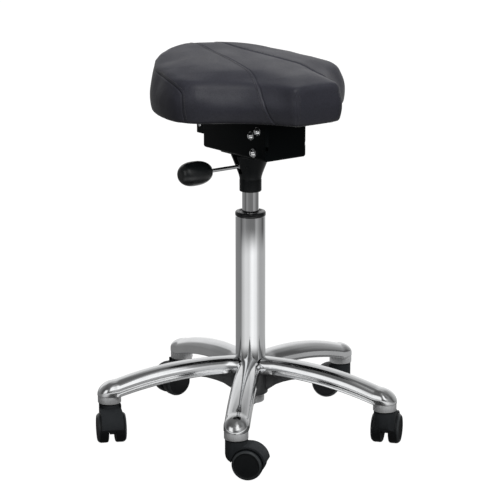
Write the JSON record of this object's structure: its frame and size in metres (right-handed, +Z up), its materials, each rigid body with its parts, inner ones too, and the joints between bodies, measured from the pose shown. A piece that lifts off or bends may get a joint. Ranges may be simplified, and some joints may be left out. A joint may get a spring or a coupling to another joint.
{
  "type": "rolling stylist stool",
  "caption": "Height-adjustable rolling work stool: padded tilting seat with a narrow nose, gas lift with side lever, star base on twin-wheel casters.",
  "frame": {"origin": "at floor level, in the middle of the stool's bounding box; the lift column axis is at x +0.6 mm, y -16.0 mm", "axes": "+Z up along the lift column, -Y towards the seat nose, +X towards the sitter's left; the release lever is at -X"},
  "size_m": [0.5112, 0.4918, 0.6345],
  "materials": {
    "chrome": "mirror chrome",
    "polished_aluminium": "polished cast aluminium",
    "zinc_steel": "zinc-plated steel",
    "black_painted_steel": "black powder coat",
    "black_plastic": "satin black nylon",
    "knob_plastic": "semi-gloss black",
    "caster_wheel_plastic": "satin black nylon",
    "rubber": "black rubber",
    "black_leather": "black leatherette, stitched",
    "plywood": "plywood"
  },
  "bodies": {
    "base": {"star_base": "polished_aluminium", "stand_tube": "chrome", "tube_cap": "black_plastic", "guide_bush": "black_plastic"},
    "lift_rod": {"piston_rod": "zinc_steel", "thrust_ball_cage": "zinc_steel", "thrust_race": "zinc_steel", "bump_stop": "rubber", "rod_clip": "zinc_steel"},
    "lift": {"gas_cylinder": "chrome", "column_socket": "black_plastic", "flange_plate": "black_painted_steel", "tilt_housing": "black_painted_steel", "pivot_bolt": "chrome", "pivot_nut": "chrome", "stop_rear_bolt": "chrome", "stop_rear_nut": "chrome", "stop_front_bolt": "chrome", "stop_front_nut": "chrome", "tilt_spring_right": "zinc_steel", "tilt_spring_left": "zinc_steel", "lever_pin": "zinc_steel"},
    "release": {"release_pin": "zinc_steel"},
    "lever": {"lever_rod": "chrome", "lever_knob": "knob_plastic"},
    "seat": {"seat_carrier": "black_painted_steel", "carrier_screw": "zinc_steel", "pivot_bush_right": "black_plastic", "pivot_bush_left": "black_plastic", "seat_cushion": "black_leather", "seat_board": "plywood", "seat_bolt_1": "zinc_steel", "seat_bolt_2": "zinc_steel", "seat_bolt_3": "zinc_steel", "seat_bolt_4": "zinc_steel"},
    "caster_1": {"caster_1_stem": "zinc_steel", "caster_1_hood": "black_plastic", "caster_1_axle": "zinc_steel"},
    "caster_1_left": {"caster_1_wheel_left": "caster_wheel_plastic"},
    "caster_1_right": {"caster_1_wheel_right": "caster_wheel_plastic"},
    "caster_2": {"caster_2_stem": "zinc_steel", "caster_2_hood": "black_plastic", "caster_2_axle": "zinc_steel"},
    "caster_2_left": {"caster_2_wheel_left": "caster_wheel_plastic"},
    "caster_2_right": {"caster_2_wheel_right": "caster_wheel_plastic"},
    "caster_3": {"caster_3_stem": "zinc_steel", "caster_3_hood": "black_plastic", "caster_3_axle": "zinc_steel"},
    "caster_3_left": {"caster_3_wheel_left": "caster_wheel_plastic"},
    "caster_3_right": {"caster_3_wheel_right": "caster_wheel_plastic"},
    "caster_4": {"caster_4_stem": "zinc_steel", "caster_4_hood": "black_plastic", "caster_4_axle": "zinc_steel"},
    "caster_4_left": {"caster_4_wheel_left": "caster_wheel_plastic"},
    "caster_4_right": {"caster_4_wheel_right": "caster_wheel_plastic"},
    "caster_5": {"caster_5_stem": "zinc_steel", "caster_5_hood": "black_plastic", "caster_5_axle": "zinc_steel"},
    "caster_5_left": {"caster_5_wheel_left": "caster_wheel_plastic"},
    "caster_5_right": {"caster_5_wheel_right": "caster_wheel_plastic"}
  },
  "joints": [
    {"name": "seat_swivel", "type": "hinge", "parent": "base", "child": "lift_rod", "pos_m": [0.00059, -0.01596, 0.2], "axis": [0, 0, 1], "continuous": true},
    {"name": "seat_height", "type": "slide", "parent": "lift_rod", "child": "lift", "axis": [0, 0, 1], "range_m": [-0.028, 0.17]},
    {"name": "release_pin_press", "type": "slide", "parent": "lift", "child": "release", "axis": [0, 0, -1], "range_m": [0, 0.0023]},
    {"name": "lever_pull", "type": "hinge", "parent": "lift", "child": "lever", "pos_m": [-0.01741, -0.01596, 0.4515], "axis": [0, 1, 0], "range_deg": [0, 7], "stiffness_Nm_per_rad": 1.5},
    {"name": "seat_tilt", "type": "hinge", "parent": "lift", "child": "seat", "pos_m": [0.00059, -0.07646, 0.4853], "axis": [1, 0, 0], "range_deg": [-5, 5], "stiffness_Nm_per_rad": 120, "deforming": ["tilt_spring_right", "tilt_spring_left"]},
    {"name": "caster_1_swivel", "type": "hinge", "parent": "base", "child": "caster_1", "pos_m": [-0.16423, -0.18903, 0.05], "axis": [0, 0, 1], "continuous": true},
    {"name": "caster_1_left_roll", "type": "hinge", "parent": "caster_1", "child": "caster_1_left", "pos_m": [-0.15071, -0.20549, 0.025], "axis": [0.7727, 0.6347, 0], "continuous": true},
    {"name": "caster_1_right_roll", "type": "hinge", "parent": "caster_1", "child": "caster_1_right", "pos_m": [-0.15071, -0.20549, 0.025], "axis": [0.7727, 0.6347, 0], "continuous": true},
    {"name": "caster_2_swivel", "type": "hinge", "parent": "base", "child": "caster_2", "pos_m": [0.11427, -0.22619, 0.05], "axis": [0, 0, 1], "continuous": true},
    {"name": "caster_2_left_roll", "type": "hinge", "parent": "caster_2", "child": "caster_2_left", "pos_m": [0.13108, -0.21311, 0.025], "axis": [-0.6143, 0.7891, 0], "continuous": true},
    {"name": "caster_2_right_roll", "type": "hinge", "parent": "caster_2", "child": "caster_2_right", "pos_m": [0.13108, -0.21311, 0.025], "axis": [-0.6143, 0.7891, 0], "continuous": true},
    {"name": "caster_3_swivel", "type": "hinge", "parent": "base", "child": "caster_3", "pos_m": [0.23567, 0.02719, 0.05], "axis": [0, 0, 1], "continuous": true},
    {"name": "caster_3_left_roll", "type": "hinge", "parent": "caster_3", "child": "caster_3_left", "pos_m": [0.22438, 0.04525, 0.025], "axis": [-0.848, -0.5299, 0], "continuous": true},
    {"name": "caster_3_right_roll", "type": "hinge", "parent": "caster_3", "child": "caster_3_right", "pos_m": [0.22438, 0.04525, 0.025], "axis": [-0.848, -0.5299, 0], "continuous": true},
    {"name": "caster_4_swivel", "type": "hinge", "parent": "base", "child": "caster_4", "pos_m": [0.0322, 0.22094, 0.05], "axis": [0, 0, 1], "continuous": true},
    {"name": "caster_4_left_roll", "type": "hinge", "parent": "caster_4", "child": "caster_4_left", "pos_m": [0.01092, 0.22169, 0.025], "axis": [-0.0349, -0.9994, 0], "continuous": true},
    {"name": "caster_4_right_roll", "type": "hinge", "parent": "caster_4", "child": "caster_4_right", "pos_m": [0.01092, 0.22169, 0.025], "axis": [-0.0349, -0.9994, 0], "continuous": true},
    {"name": "caster_5_swivel", "type": "hinge", "parent": "base", "child": "caster_5", "pos_m": [-0.21494, 0.08731, 0.05], "axis": [0, 0, 1], "continuous": true},
    {"name": "caster_5_left_roll", "type": "hinge", "parent": "caster_5", "child": "caster_5_left", "pos_m": [-0.22504, 0.06856, 0.025], "axis": [0.8805, -0.4741, 0], "continuous": true},
    {"name": "caster_5_right_roll", "type": "hinge", "parent": "caster_5", "child": "caster_5_right", "pos_m": [-0.22504, 0.06856, 0.025], "axis": [0.8805, -0.4741, 0], "continuous": true}
  ],
  "couplings": [
    {"joint": "release_pin_press", "follows": "lever_pull", "m_per_rad": 0.018}
  ]
}
